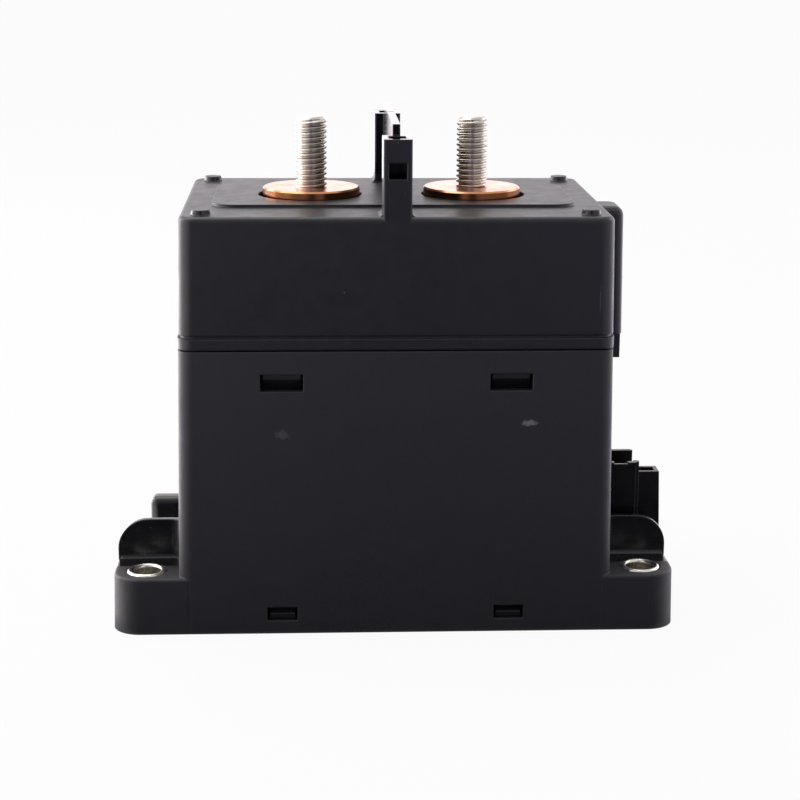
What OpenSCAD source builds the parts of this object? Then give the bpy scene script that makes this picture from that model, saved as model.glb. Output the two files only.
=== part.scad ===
// Sealed high voltage direct current contactor: two stud terminals stand on a
// snapped two-part housing that holds a ceramic contact chamber and its magnet
// system. Millimetres, Z up, origin at the centre of the underside.

/* [Housing] */
// Width of the lower housing at its open top
housing_w = 79.8; // [78:0.1:86]
// Widening of each side from the open top down to the underside
housing_draft = 0.95; // [0.2:0.05:1.2]
// Depth of the housing and of the cover
body_d = 55.7; // [54:0.1:62]
// Height of the lower housing
housing_h = 54.3; // [51:0.1:60]
// Wall of the housing and of the cover
wall = 2; // [1.6:0.1:2.4]
// Radius of the upright outer edges
edge_r = 2.6; // [1.5:0.1:4]
// Radius of the upright inner edges
cavity_r = 1; // [0.6:0.1:1.4]
// Gap between the housing and the cover
seam_gap = 0.3; // [0.2:0.05:0.6]

/* [Snap windows] */
// Distance of the upper windows from the middle of the face
upper_snap_x = 21.05; // [18:0.05:26]
// Distance of the lower windows from the middle of the face
lower_snap_x = 21.3; // [18:0.05:26]
// Width of an upper window
upper_window_w = 7.85; // [6:0.05:9]
// Height of an upper window
upper_window_h = 3.2; // [2.8:0.05:3.6]
// Distance of an upper window from the rim of the housing
upper_window_drop = 4.25; // [3.5:0.05:5]
// Width of a lower window
lower_window_w = 5.65; // [4.5:0.05:7]
// Height of a lower window
lower_window_h = 2.65; // [2.3:0.05:3]
// Height of a lower window above the underside
lower_window_z = 2.55; // [2:0.05:3]
// Distance of a snap nose behind the outer face
snap_recess = 0.8; // [0.5:0.05:1]
// Height of the flat on a snap nose
snap_strip = 0.95; // [0.6:0.05:1.2]

/* [Mounting ears] */
// Distance of the fixing holes from the side of the housing
mount_offset = 6.05; // [5.8:0.05:8]
// Distance of the fixing holes from the front or rear face
mount_inset = 5.45; // [5:0.05:7]
// Distance from a fixing hole to the outer end of its ear
ear_rim = 6.1; // [5.2:0.1:8]
// Height of an ear
ear_h = 10.9; // [9.5:0.1:13]
// Widening of an ear from its top down to the underside
ear_draft = 0.25; // [0.1:0.05:0.5]
// Plan radius of the outer corner of an ear
ear_corner_r = 5.3; // [3:0.1:6]
// Radius of the top edge of an ear
ear_edge_r = 0.5; // [0.3:0.05:1]
// Distance from a fixing hole to the upright web behind it
web_gap = 7; // [6:0.1:8]
// Thickness of the web
web_t = 1.1; // [0.9:0.1:2]
// Height of the web above the ear
web_h = 7.85; // [6:0.05:10]
// Distance of the web's outer end inside the end of the ear
web_inset = 0.12; // [0.04:0.02:0.4]
// Radius of the upper outer corner of the web
web_round = 5.8; // [3:0.1:6.4]
// Fillet along the foot of the web
web_foot_r = 0.8; // [0.4:0.1:1.2]
// Fillet between the web and the side of the housing
web_root_r = 2.3; // [1:0.1:2.6]
// Outer diameter of a bushing
bushing_od = 7.6; // [7:0.1:8]
// Bore of a bushing
bushing_bore = 5.3; // [5:0.1:5.6]
// Height of a bushing above its ear
bushing_proud = 0.3; // [0.2:0.05:0.6]

/* [Side block] */
// Reach of the block out of the left side
side_block_out = 7.8; // [5:0.1:10]
// Thickness of the block, front to rear
side_block_t = 4.6; // [3:0.1:6]
// Distance of the block behind the middle
side_block_y = 10; // [6:0.1:14]
// Height of the block
side_block_h = 15.95; // [12:0.05:20]
// Radius of the edges of the block
side_block_r = 1.5; // [0.5:0.1:1.8]

/* [Cover] */
// Height of the cover, without the raised panel
cover_h = 24.2; // [23:0.1:28]
// Narrowing of each side from the foot of the cover to its top
cover_draft = 0.4; // [0.2:0.02:1]
// Step from the housing in to the cover above its foot band
cover_step = 0.08; // [0.02:0.01:0.2]
// Thickness of the top wall
cover_top_t = 2.2; // [1.8:0.1:2.6]
// Radius of the top edge
cover_edge_r = 1; // [0.5:0.1:1.6]
// Height of the band round the foot
band_h = 2.05; // [1.5:0.05:3]
// Reach of the band past the housing
band_proud = 0.05; // [0.02:0.01:0.3]
// Height of the groove above the band
groove_h = 0.55; // [0.3:0.05:0.9]
// Depth of the groove above the band
groove_depth = 0.4; // [0.2:0.05:0.6]
// Reach of the inner lip into the housing
lip_h = 3; // [2:0.1:3.4]
// Thickness of the inner lip and of the snap tongues
lip_t = 1.4; // [1.1:0.1:1.8]
// Width of the raised top panel
panel_w = 68; // [60:0.5:70]
// Depth of the raised top panel
panel_d = 30; // [26:0.5:36]
// Height of the raised top panel
panel_h = 0.5; // [0.3:0.05:0.8]
// Plan radius of the panel's corners
panel_r = 4.5; // [2:0.1:7]
// Distance of the corner buttons from the sides of the cover top
button_inset = 4; // [3.2:0.1:5]
// Distance of the corner buttons from the front and rear faces
button_inset_y = 4.4; // [3.4:0.1:6]
// Foot diameter of a corner button
button_d = 3.7; // [2.5:0.1:4.2]
// Height of a corner button
button_h = 0.9; // [0.5:0.05:1.3]
// Narrowing of a corner button to its top
button_taper = 0.5; // [0.2:0.1:1]

/* [Barrier] */
// Width of a barrier post
post_w = 5.2; // [4:0.1:6]
// Depth of a barrier post
post_d = 7.6; // [6.5:0.1:9]
// Height of a post above the cover
post_h = 13.9; // [10:0.1:17]
// Radius of the upright edges of a post
post_edge_r = 0.35; // [0.2:0.05:0.8]
// Wall of a post at its sides
post_side_t = 1.05; // [0.8:0.05:1.2]
// Wall of a post at its outer face
post_face_t = 1.75; // [1.2:0.05:2.2]
// Length of the slot in a post, front to rear
post_slot = 4.1; // [3:0.1:4.5]
// Depth of the slot in a post
post_slot_depth = 8.2; // [7.5:0.1:9.5]
// Distance of the post's window from the top
post_window_drop = 4.2; // [3:0.1:4.5]
// Height of the post's window
post_window_h = 2.9; // [2:0.1:3.2]
// Step from the post's slot to its window at each side
post_window_step = 0.08; // [0.04:0.02:0.2]
// Fillet along the foot of a post
post_foot_r = 0.8; // [0.4:0.1:1.2]
// Thickness of the barrier wall
barrier_t = 1.4; // [1:0.1:2]
// Height of the barrier wall above the cover
barrier_h = 15.85; // [11:0.05:18]
// Distance behind the middle of the notch in the barrier's upper edge
barrier_notch_y = 3.7; // [0:0.1:8]
// Width and depth of the notch in the barrier's upper edge
barrier_notch = 0.4; // [0.3:0.05:0.8]

/* [Side channel] */
// Reach of the channel out of the cover
channel_out = 4.2; // [3:0.05:5]
// Width of the channel, front to rear
channel_w = 9.5; // [8.4:0.1:12]
// Distance of the channel's top below the cover's top
channel_drop = 0.65; // [0.5:0.05:3]
// Radius of the channel's outer edges
channel_r = 1.5; // [0.5:0.1:1.8]
// Wall of the channel
channel_t = 1.5; // [1.2:0.1:2]
// Reach of the channel below the seam
channel_past = 0.85; // [0.4:0.05:1.2]
// Length of the tongue below the seam
tongue_h = 5.8; // [4:0.1:8]
// Step from the channel to the tongue
tongue_step = 0.2; // [0.1:0.05:0.5]

/* [Connector] */
// Distance of the connector in front of the middle
connector_front = 6; // [4:0.1:7]
// Width of the shroud, front to rear
shroud_w = 10; // [9.4:0.1:12]
// Reach of the shroud out of the housing
shroud_out = 7.3; // [7.2:0.1:8.4]
// Height of the shroud's rim above the underside
shroud_top_z = 28.1; // [26:0.1:32]
// Height of the connector's foot above the underside
shroud_foot_z = 8; // [7:0.1:8.6]
// Wall of the shroud
shroud_t = 1.1; // [0.9:0.05:1.3]
// Depth of the shroud's mouth
shroud_depth = 10; // [9.4:0.1:11]
// Radius of the shroud's upright outer edges
shroud_r = 0.8; // [0.5:0.1:1]
// Width of the step in the shroud's outer front edge
shroud_step_w = 0.7; // [0.5:0.05:0.9]
// Depth of the step in the shroud's outer front edge
shroud_step_d = 0.45; // [0.3:0.05:0.5]
// Width of the front post beside the opening in the shroud's outer wall
shroud_post_w = 1.8; // [1.6:0.1:2.4]
// Width of the key groove in the front wall
key_w = 2.7; // [2:0.1:3.5]
// Depth of the key groove into the wall
key_depth = 0.45; // [0.3:0.05:0.6]
// Drop of the rim above the key groove
key_drop = 0.3; // [0.2:0.05:0.6]
// Reach of the latch pocket out of the shroud
latch_out = 4.4; // [3.6:0.1:4.8]
// Widening of the latch pocket from its rim down to its foot
latch_draft = 0.45; // [0.2:0.05:0.5]
// Width of the latch pocket, front to rear
latch_w = 4; // [3.6:0.1:5]
// Distance of the latch pocket's rim below the shroud's rim
latch_drop = 2.7; // [1.5:0.1:4]
// Wall of the latch pocket
latch_t = 0.8; // [0.7:0.05:1]
// Depth of the latch pocket
latch_depth = 6; // [4:0.1:7]
// Height of the latch pocket's outer face
latch_h = 13; // [10:0.1:15]
// Side of a connector pin
pin_side = 0.64; // [0.5:0.02:0.8]
// Distance between the connector pins
pin_pitch = 2.5; // [2.2:0.1:2.8]
// Length of the pins above the floor of the shroud
pin_reach = 5.2; // [4:0.1:5.4]
// Width of the spigot through the housing wall, front to rear
spigot_w = 6; // [5:0.1:7]
// Height of the spigot through the housing wall
spigot_h = 6; // [5.4:0.1:6.4]
// Reach of the spigot past the housing wall
spigot_in = 2; // [1.5:0.1:2.6]
// Height of the spigot's foot above the connector's foot
spigot_rise = 1; // [0.6:0.1:1.4]
// Length of the pins past the control board
pin_tail = 1; // [0.6:0.1:1.6]

/* [Terminals] */
// Distance between the terminals
terminal_pitch = 30.9; // [29.5:0.1:33]
// Diameter of a terminal disc
disc_d = 18.6; // [17:0.1:19]
// Thickness of a terminal disc
disc_t = 2.8; // [2.2:0.1:3.2]
// Chamfer of a terminal disc's edges
disc_chamfer = 0.3; // [0.2:0.05:0.5]
// Height of a terminal disc above the raised panel
disc_proud = 1.5; // [0.8:0.1:2]
// Diameter of the hole in the cover round a disc
disc_hole_d = 20; // [19.8:0.1:20.6]
// Outward shift of the hole in the cover
disc_hole_shift = 0.25; // [0:0.05:0.3]
// Diameter of a terminal's pillar
pillar_d = 12; // [10:0.1:12.6]
// Diameter of the collar under a disc
collar_d = 15; // [13.6:0.1:16]
// Diameter of a stud
stud_d = 6; // [5:0.5:6]
// Length of a stud above its disc
stud_len = 13.35; // [10:0.05:16]
// Length of a stud inside its terminal
stud_root = 9; // [7:0.5:10]
// Step from the stud's shank in to its root
stud_step = 0.5; // [0.4:0.05:0.6]
// Chamfer at the tip of a stud
stud_chamfer = 0.8; // [0.5:0.1:1]

/* [Contact chamber] */
// Wall of the ceramic chamber
ceramic_t = 2.5; // [2:0.1:3]
// Roof of the ceramic chamber
ceramic_roof_t = 3; // [2.5:0.1:3.5]
// Radius of the chamber's outer upright edges
ceramic_r = 4; // [3.2:0.1:5]
// Distance of the chamber's top below the cover's top
ceramic_drop = 5.8; // [5.5:0.1:6.5]
// Inner depth of the chamber, front to rear
chamber_d = 22; // [20:0.2:23]
// Gap between a terminal's pillar and the chamber's end
chamber_end_gap = 2; // [1.8:0.1:2.4]
// Height of a braze ring
braze_h = 1.4; // [1:0.1:2]
// Reach of a braze ring past the collar
braze_past = 0.5; // [0.3:0.1:0.8]
// Gap between the open contacts
contact_gap = 1.8; // [1.6:0.05:2]
// Thickness of the contact bridge
bridge_t = 3; // [2.4:0.1:3.4]
// Depth of the contact bridge, front to rear
bridge_d = 11; // [10:0.2:13]
// Reach of the bridge past its tips
bridge_past = 1; // [0.6:0.1:1.4]
// Radius of the bridge's corners
bridge_r = 4; // [2:0.1:4.8]
// Diameter of the contact tips
tip_d = 8; // [6:0.2:9]
// Height of the contact tips
tip_h = 0.6; // [0.4:0.05:0.9]
// Height of the terminals' contact faces above the yoke's top plate
contact_rise = 15.3; // [14.8:0.1:16.5]
// Height of the chamber skirt
skirt_h = 4; // [3:0.1:5]
// Thickness of the chamber skirt
skirt_t = 0.8; // [0.6:0.05:1]
// Reach of the skirt's flange
skirt_flange = 1.5; // [1:0.1:2]
// Thickness of an arc magnet
magnet_t = 3.5; // [2.5:0.1:4]
// Length of an arc magnet
magnet_w = 28; // [20:0.5:32]
// Height of an arc magnet
magnet_h = 14; // [10:0.5:16]
// Thickness of the magnet yoke
magnet_yoke_t = 1.5; // [1:0.1:2]
// Reach of the magnet yoke past the magnets, up and down
magnet_yoke_past = 1; // [0.5:0.1:1.4]

/* [Magnet system] */
// Recess of the bottom plate above the underside
base_recess = 0.4; // [0.2:0.05:0.6]
// Thickness of the bottom plate
base_t = 2.2; // [1.8:0.1:2.6]
// Height of the rails on the bottom plate
rail_h = 3.4; // [2.6:0.1:4]
// Width of a rail
rail_w = 4; // [3:0.1:6]
// Thickness of the rubber pad
pad_t = 1.5; // [1:0.1:2]
// Inset of the rubber pad from the yoke frame
pad_inset = 1; // [0.5:0.1:2]
// Width of the yoke frame
yoke_w = 52; // [50:0.5:56]
// Depth of the yoke frame, front to rear
yoke_d = 30; // [26:0.5:32]
// Thickness of the yoke frame
yoke_t = 3; // [2.4:0.1:3.6]
// Thickness of the yoke's top plate
yoke_top_t = 4; // [3:0.1:5]
// Distance of the top plate below the rim of the housing
yoke_top_drop = 8.3; // [8:0.1:9]
// Reach of the top plate past the ceramic chamber
top_plate_past = 2.5; // [2:0.1:3]
// Radius of the top plate's corners
top_plate_r = 1.5; // [1:0.1:3]
// Diameter of the fixed core
core_d = 15; // [13:0.1:15.6]
// Diameter of the core's neck in the top plate
core_neck_d = 12; // [10:0.1:12.6]
// Height of the core's head above the top plate
core_head_h = 0.8; // [0.5:0.1:1.2]
// Reach of the core's head past its neck
core_head_past = 1.5; // [1:0.1:2]
// Wall of the plunger sleeve
sleeve_t = 0.4; // [0.3:0.05:0.5]
// Thickness of the sleeve's floor and of its flange
sleeve_flange_t = 0.6; // [0.5:0.05:0.7]
// Reach of the sleeve's flange
sleeve_flange = 2.5; // [1.5:0.1:3]
// Reach of the sleeve below the yoke frame
sleeve_drop = 0.9; // [0.6:0.1:1.2]
// Length of the plunger
plunger_len = 17; // [15:0.1:18.5]
// Stroke of the plunger
stroke = 2.4; // [2.1:0.05:2.6]
// Diameter of the shaft
shaft_d = 5; // [4.4:0.1:5.4]
// Distance of the shaft's foot above the plunger's foot
shaft_rise = 4.5; // [3:0.1:6]
// Length of the shaft above its clip
shaft_past = 1.2; // [1:0.1:1.4]
// Thickness and reach of the shaft's collar
shaft_collar = 0.8; // [0.6:0.1:1]
// Thickness of the shaft's clip
clip_t = 0.8; // [0.6:0.1:1]
// Reach of the clip past the shaft
clip_past = 1.7; // [1.4:0.1:2]
// Width of the clip's opening
clip_mouth = 3.5; // [2.5:0.1:4]
// Depth of the clip's groove in the shaft
clip_groove = 0.5; // [0.4:0.05:0.6]
// Thickness of the spring seat
seat_t = 1.5; // [1.2:0.1:1.8]
// Thickness of the spring seat's rim
seat_rim_t = 0.8; // [0.6:0.1:1]
// Height of the spring seat's rim
seat_rim_h = 0.6; // [0.4:0.1:0.9]
// Depth of the spring pocket in the plunger
plunger_pocket = 4; // [3:0.1:5]
// Depth of the spring pocket in the core
core_pocket = 8; // [7:0.1:9]
// Wire diameter of the return spring
return_wire = 0.8; // [0.6:0.05:0.9]
// Turns of the return spring
return_turns = 8; // [6:1:9]
// Wire diameter of the contact spring
contact_wire = 1; // [0.8:0.05:1.1]
// Turns of the contact spring
contact_turns = 4; // [3:1:4]
// Length of the contact spring
contact_spring_len = 5.4; // [5:0.1:5.6]
// Wall of the bobbin's tube
bobbin_t = 1.2; // [0.9:0.1:1.6]
// Thickness of the bobbin's flanges
bobbin_flange_t = 1.6; // [1.4:0.1:2]
// Margin of the bobbin's flanges round the winding and inside the yoke
bobbin_margin = 0.5; // [0.3:0.1:0.9]
// Outer diameter of the coil winding
coil_d = 41; // [36:0.5:42]
// Side of a coil pin
coil_pin_side = 0.8; // [0.6:0.05:0.9]
// Distance of a coil pin past the yoke frame
coil_pin_out = 3; // [2.4:0.1:3.6]
// Length of a coil pin inside the bobbin
coil_pin_root = 5; // [3:0.5:7]
// Length of a coil pin past the control board
coil_pin_tail = 0.8; // [0.4:0.1:1.2]
// Thickness of the control board
board_t = 1.6; // [1:0.1:2]
// Height of the control board
board_h = 28; // [20:0.5:30]
// Reach of the control board past the coil pins
board_past = 2; // [1.4:0.1:2.6]
// Distance of the control board's foot above the underside
board_z = 8; // [7:0.1:9]

/* [Clearances] */
// Gap of a snapped or seated piece
fit_gap = 0.15; // [0.1:0.01:0.2]
// Gap of a pressed or brazed piece
seat_gap = 0.04; // [0.03:0.01:0.06]
// Gap of a sliding piece
slide_gap = 0.08; // [0.06:0.01:0.1]
// Gap left at the end of a stroke
stop_gap = 0.15; // [0.1:0.01:0.3]
// Gap between a spring and the pieces beside it
spring_gap = 0.6; // [0.5:0.05:0.7]

/* [Hidden] */

$fn = 64;
blend_fn = 48;
eps = 0.01;
past = 1;

plastic = "#29282b";
hidden_plastic = "#3a393d";
copper = "#b8754a";
nickel = "#c9c6c0";
steel = "#a9a7a3";
magnet_black = "#45444a";
ceramic_white = "#e9e4da";
board_green = "#2f6b45";
rubber = "#1c1b1d";
bobbin_cream = "#d9d4c4";
winding = "#a85f32";

half_w = housing_w / 2;
half_d = body_d / 2;
foot_half_w = half_w + housing_draft;
cavity_x = half_w - wall;
cavity_y = half_d - wall;
upper_window_top_z = housing_h - upper_window_drop;

mount_x = foot_half_w + mount_offset;
mount_y = half_d - mount_inset;
ear_x = mount_x + ear_rim;
web_y = mount_y - web_gap;
web_top_z = ear_h + web_h;

cover_z = housing_h + seam_gap;
cover_top_z = cover_z + cover_h;
band_half_w = half_w + band_proud;
cover_foot_half_w = half_w - cover_step;
cover_top_half_w = cover_foot_half_w - cover_draft;
cover_cavity_x = cover_top_half_w - wall;
lip_x = cavity_x - fit_gap;
lip_y = cavity_y - fit_gap;
panel_z = cover_top_z + panel_h;
post_top_z = cover_top_z + post_h;
barrier_top_z = cover_top_z + barrier_h;
channel_x = cover_top_half_w + channel_out;
channel_top_z = cover_top_z - channel_drop;

snap_nose = wall + fit_gap - snap_recess;

connector_y = -connector_front;
shroud_x = foot_half_w + fit_gap;
shroud_outer_x = shroud_x + shroud_out;
shroud_front_y = connector_y - shroud_w / 2;
shroud_rear_y = connector_y + shroud_w / 2;
shroud_floor_z = shroud_top_z - shroud_depth;
latch_x = shroud_outer_x + latch_out;
latch_top_z = shroud_top_z - latch_drop;
spigot_z = shroud_foot_z + spigot_rise;
spigot_x = cavity_x - spigot_in;
pin_row_x = (shroud_x + shroud_outer_x) / 2;
board_x = spigot_x - fit_gap - board_t;
pin_tail_x = board_x - pin_tail;

terminal_x = terminal_pitch / 2;
disc_top_z = panel_z + disc_proud;
collar_top_z = disc_top_z - disc_t;
ceramic_top_z = cover_top_z - ceramic_drop;
collar_z = ceramic_top_z + braze_h;
stud_top_z = disc_top_z + stud_len;
stud_root_d = stud_d - 2 * stud_step;

pad_z = base_recess + base_t + rail_h;
yoke_z = pad_z + pad_t;
yoke_floor_z = yoke_z + yoke_t;
yoke_top_z = housing_h - yoke_top_drop;
yoke_under_z = yoke_top_z - yoke_top_t;

sleeve_r = core_d / 2 + slide_gap + sleeve_t;
sleeve_z = yoke_z - sleeve_drop;
bobbin_z = yoke_floor_z + fit_gap;
bobbin_top_z = yoke_under_z - sleeve_flange_t - fit_gap;
bobbin_r = sleeve_r + fit_gap;
bobbin_half_w = yoke_w / 2 - yoke_t - bobbin_margin;
bobbin_half_d = coil_d / 2 + bobbin_margin;
coil_pin_y = yoke_d / 2 + coil_pin_out;
coil_pin_z = bobbin_z + bobbin_flange_t / 2;

plunger_z = sleeve_z + sleeve_flange_t + 2 * stop_gap;
plunger_top_z = plunger_z + plunger_len;
core_z = plunger_top_z + stroke + stop_gap;
shaft_r = shaft_d / 2;
shaft_z = plunger_z + shaft_rise;
return_spring_r = shaft_r + spring_gap + return_wire / 2;
pocket_r = return_spring_r + return_wire / 2 + spring_gap;

chamber_half_w = terminal_x + pillar_d / 2 + chamber_end_gap;
chamber_half_d = chamber_d / 2;
ceramic_z = yoke_top_z + skirt_h;
contact_z = yoke_top_z + contact_rise;
bridge_top_z = contact_z - contact_gap - tip_h;
bridge_z = bridge_top_z - bridge_t;
bridge_half_w = terminal_x + tip_d / 2 + bridge_past;
seat_top_z = bridge_z - contact_spring_len;
contact_spring_r = shaft_r + 2 * spring_gap + contact_wire / 2;
clip_z = bridge_top_z + slide_gap;
shaft_top_z = clip_z + clip_t + shaft_past;
top_plate_half_w = chamber_half_w + ceramic_t + top_plate_past;
top_plate_half_d = chamber_half_d + ceramic_t + top_plate_past;
magnet_y = chamber_half_d + ceramic_t + 2 * fit_gap;
magnet_z = (ceramic_z + ceramic_top_z) / 2 - magnet_h / 2;
ring_x = chamber_half_w + ceramic_t + 2 * fit_gap;
ring_y = magnet_y + magnet_t + fit_gap;
ring_z = magnet_z - magnet_yoke_past;
ring_top_z = magnet_z + magnet_h + magnet_yoke_past;

// Rectangle with round corners about the origin
module rounded_rect(w, d, r) {
    square([w - 2 * r, d], center = true);
    square([w, d - 2 * r], center = true);
    for (x = [-1, 1], y = [-1, 1])
        translate([x * (w / 2 - r), y * (d / 2 - r)])
            circle(r);
}

// Upright prism with round corners from height z to height top
module rounded_prism(w, d, r, z, top) {
    translate([0, 0, z])
        linear_extrude(top - z)
            rounded_rect(w, d, r);
}

// Thin level slice of a lofted shell
module slice(w, d, r, z) {
    translate([0, 0, z])
        linear_extrude(eps)
            rounded_rect(w, d, r, $fn = blend_fn);
}

// Box given by its low and high corners
module box(low, high) {
    translate(low)
        cube(high - low);
}

// Tube about Z from height z to height top
module tube(outer_r, inner_r, z, top) {
    difference() {
        translate([0, 0, z])
            cylinder(h = top - z, r = outer_r);
        translate([0, 0, z - past])
            cylinder(h = top - z + 2 * past, r = inner_r);
    }
}

// Inside fillet: the corner at the origin filled out to an arc, extruded along Z
module fillet_strip(r, length) {
    linear_extrude(length)
        difference() {
            translate([-eps, -eps])
                square(r + eps);
            translate([r, r])
                circle(r);
        }
}

// Moves what is drawn at the rear right to the corner with the given signs
module at_corner(side, face) {
    mirror([side < 0 ? 1 : 0, 0, 0])
        mirror([0, face < 0 ? 1 : 0, 0])
            children();
}

// Repeats what is drawn at the rear face, on both faces and at the distance x on both sides
module at_snaps(x) {
    for (side = [-1, 1], face = [-1, 1])
        at_corner(side, face)
            translate([x, 0, 0])
                children();
}

// Upright plate across X, drawn in the XZ plane and given a thickness along +Y
module plate_xz(y, t) {
    translate([0, y + t, 0])
        rotate([90, 0, 0])
            linear_extrude(t)
                children();
}

// Upright plate across Y, drawn in the YZ plane and centred on X
module plate_yz(w) {
    translate([-w / 2, 0, 0])
        rotate([90, 0, 90])
            linear_extrude(w)
                children();
}

// Plan of an ear, inset at its edges and widened at its outer end, with its outer corner round
module ear_plan(inset, wider) {
    inner_x = foot_half_w - wall;
    inner_y = web_y - web_t;
    outer_x = ear_x + wider - inset;
    outer_y = half_d - inset;
    r = ear_corner_r - inset;
    translate([inner_x, inner_y])
        square([outer_x - inner_x - r, outer_y - inner_y]);
    translate([inner_x, inner_y])
        square([outer_x - inner_x, outer_y - inner_y - r]);
    translate([outer_x - r, outer_y - r])
        circle(r, $fn = blend_fn);
}

// One fixing ear at the rear right, with a soft top edge
module ear() {
    hull() {
        linear_extrude(eps)
            ear_plan(0, ear_draft);
        for (a = [0, 30, 60, 90])
            translate([0, 0, ear_h - ear_edge_r * (1 - sin(a)) - eps])
                linear_extrude(eps)
                    ear_plan(ear_edge_r * (1 - cos(a)), 0);
    }
}

// Upright web that stiffens an ear, at the rear right
module ear_web() {
    inner_x = foot_half_w - wall;
    outer_x = ear_x - web_inset;
    plate_xz(web_y - web_t, web_t) {
        translate([inner_x, 0])
            square([outer_x - inner_x, web_top_z - web_round]);
        translate([inner_x, 0])
            square([outer_x - inner_x - web_round, web_top_z]);
        translate([outer_x - web_round, web_top_z - web_round])
            circle(web_round);
    }
    translate([inner_x, web_y, ear_h])
        rotate([90, 0, 90])
            fillet_strip(web_foot_r, outer_x - ear_edge_r - inner_x);
    translate([foot_half_w - housing_draft / 2, web_y, ear_h - past])
        fillet_strip(web_root_r, web_h + past);
}

// Block from the origin along X, centred on Y, with its upper edges and its far end round
module soft_block(w, d, h, r) {
    far_x = w - r;
    side_y = d / 2 - r;
    edge_z = h - r;
    box([0, -side_y, 0], [far_x, side_y, h]);
    box([0, -d / 2, 0], [far_x, d / 2, edge_z]);
    box([0, -side_y, 0], [w, side_y, edge_z]);
    translate([far_x, 0, edge_z])
        rotate([90, 0, 0])
            cylinder(h = 2 * side_y, r = r, center = true);
    for (y = [-side_y, side_y]) {
        translate([far_x, y, 0])
            cylinder(h = edge_z, r = r);
        translate([0, y, edge_z])
            rotate([0, 90, 0])
                cylinder(h = far_x, r = r);
        translate([far_x, y, edge_z])
            sphere(r);
    }
}

// Block on the left side, its free edges round
module side_block() {
    inner_x = foot_half_w - wall;
    mirror([1, 0, 0])
        translate([inner_x, side_block_y, 0])
            soft_block(side_block_out + wall, side_block_t, side_block_h, side_block_r);
}

// Outer form of the lower housing with its draft
module housing_body() {
    hull() {
        slice(2 * foot_half_w, body_d, edge_r, 0);
        slice(housing_w, body_d, edge_r, housing_h - eps);
    }
}

module lower_housing() {
    color(plastic)
        difference() {
            union() {
                housing_body();
                for (c = [[-1, -1], [1, -1], [1, 1]])
                    at_corner(c[0], c[1]) {
                        ear();
                        ear_web();
                    }
                side_block();
            }
            rounded_prism(2 * cavity_x, 2 * cavity_y, cavity_r, -past, housing_h + past);
            for (c = [[-1, -1], [1, -1], [1, 1]])
                at_corner(c[0], c[1])
                    translate([mount_x, mount_y, -past])
                        cylinder(h = ear_h + 2 * past, d = bushing_od + 2 * seat_gap);
            at_snaps(upper_snap_x)
                box([-upper_window_w / 2, cavity_y - past, upper_window_top_z - upper_window_h],
                    [upper_window_w / 2, half_d + past, upper_window_top_z]);
            at_snaps(lower_snap_x)
                box([-lower_window_w / 2, cavity_y - past, lower_window_z],
                    [lower_window_w / 2, half_d + past, lower_window_z + lower_window_h]);
            box([cavity_x - past, connector_y - spigot_w / 2, spigot_z],
                [foot_half_w + past, connector_y + spigot_w / 2, spigot_z + spigot_h]);
        }
}

// Outer form of the cover above its foot band
module cover_body() {
    foot_z = cover_z + band_h + groove_h;
    hull() {
        slice(2 * cover_foot_half_w, body_d, edge_r, foot_z);
        for (a = [0:18:90]) {
            cut = cover_edge_r * (1 - cos(a));
            slice(2 * (cover_top_half_w - cut), body_d - 2 * cut, edge_r - cut / 2,
                  cover_top_z - cover_edge_r * (1 - sin(a)) - eps);
        }
    }
}

// Band round the foot of the cover and the groove above it
module cover_foot() {
    groove_z = cover_z + band_h;
    rounded_prism(2 * band_half_w, body_d + 2 * band_proud, edge_r, cover_z, groove_z);
    rounded_prism(2 * (cover_foot_half_w - groove_depth), body_d - 2 * groove_depth, edge_r,
                  groove_z - eps, groove_z + groove_h + eps);
}

// Lip that reaches down into the housing
module cover_lip() {
    difference() {
        rounded_prism(2 * lip_x, 2 * lip_y, cavity_r, cover_z - lip_h, cover_z + band_h);
        rounded_prism(2 * (lip_x - lip_t), 2 * (lip_y - lip_t), cavity_r,
                      cover_z - lip_h - past, cover_z + band_h + past);
    }
}

// Snap tongue of the cover at the rear face, its nose under the window's upper edge
module cover_snap() {
    nose_top = upper_window_top_z - fit_gap;
    foot = upper_window_top_z - upper_window_h + fit_gap;
    plate_yz(upper_window_w - 6 * fit_gap)
        polygon([
            [lip_y - lip_t, foot], [lip_y - lip_t, cover_z - lip_h + eps], [lip_y, cover_z - lip_h + eps],
            [lip_y, nose_top], [lip_y + snap_nose, nose_top],
            [lip_y + snap_nose, nose_top - snap_strip], [lip_y, foot + fit_gap], [lip_y, foot]
        ]);
}

// One hollow barrier post at the rear face
module post() {
    translate([0, half_d - post_d / 2, 0])
        rounded_prism(post_w, post_d, post_edge_r, cover_top_z - cover_top_t, post_top_z);
    for (side = [0, 1])
        mirror([side, 0, 0])
            translate([post_w / 2, half_d - cover_edge_r, cover_top_z])
                rotate([90, 0, 0])
                    fillet_strip(post_foot_r, post_d - cover_edge_r);
}

// Slot and window of a barrier post at the rear face
module post_hollow() {
    slot_y = half_d - post_face_t;
    slot_half_w = post_w / 2 - post_side_t;
    window_z = post_top_z - post_window_drop - post_window_h;
    box([-slot_half_w, slot_y - post_slot, post_top_z - post_slot_depth],
        [slot_half_w, slot_y, post_top_z + past]);
    box([-slot_half_w - post_window_step, slot_y - eps, window_z],
        [slot_half_w + post_window_step, half_d + past, window_z + post_window_h]);
}

// Thin wall between the two posts
module barrier() {
    reach = half_d - post_d + eps;
    difference() {
        box([-barrier_t / 2, -reach, cover_top_z - eps], [barrier_t / 2, reach, barrier_top_z]);
        box([-barrier_t, barrier_notch_y, barrier_top_z - barrier_notch],
            [barrier_t, barrier_notch_y + barrier_notch, barrier_top_z + past]);
    }
}

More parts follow.
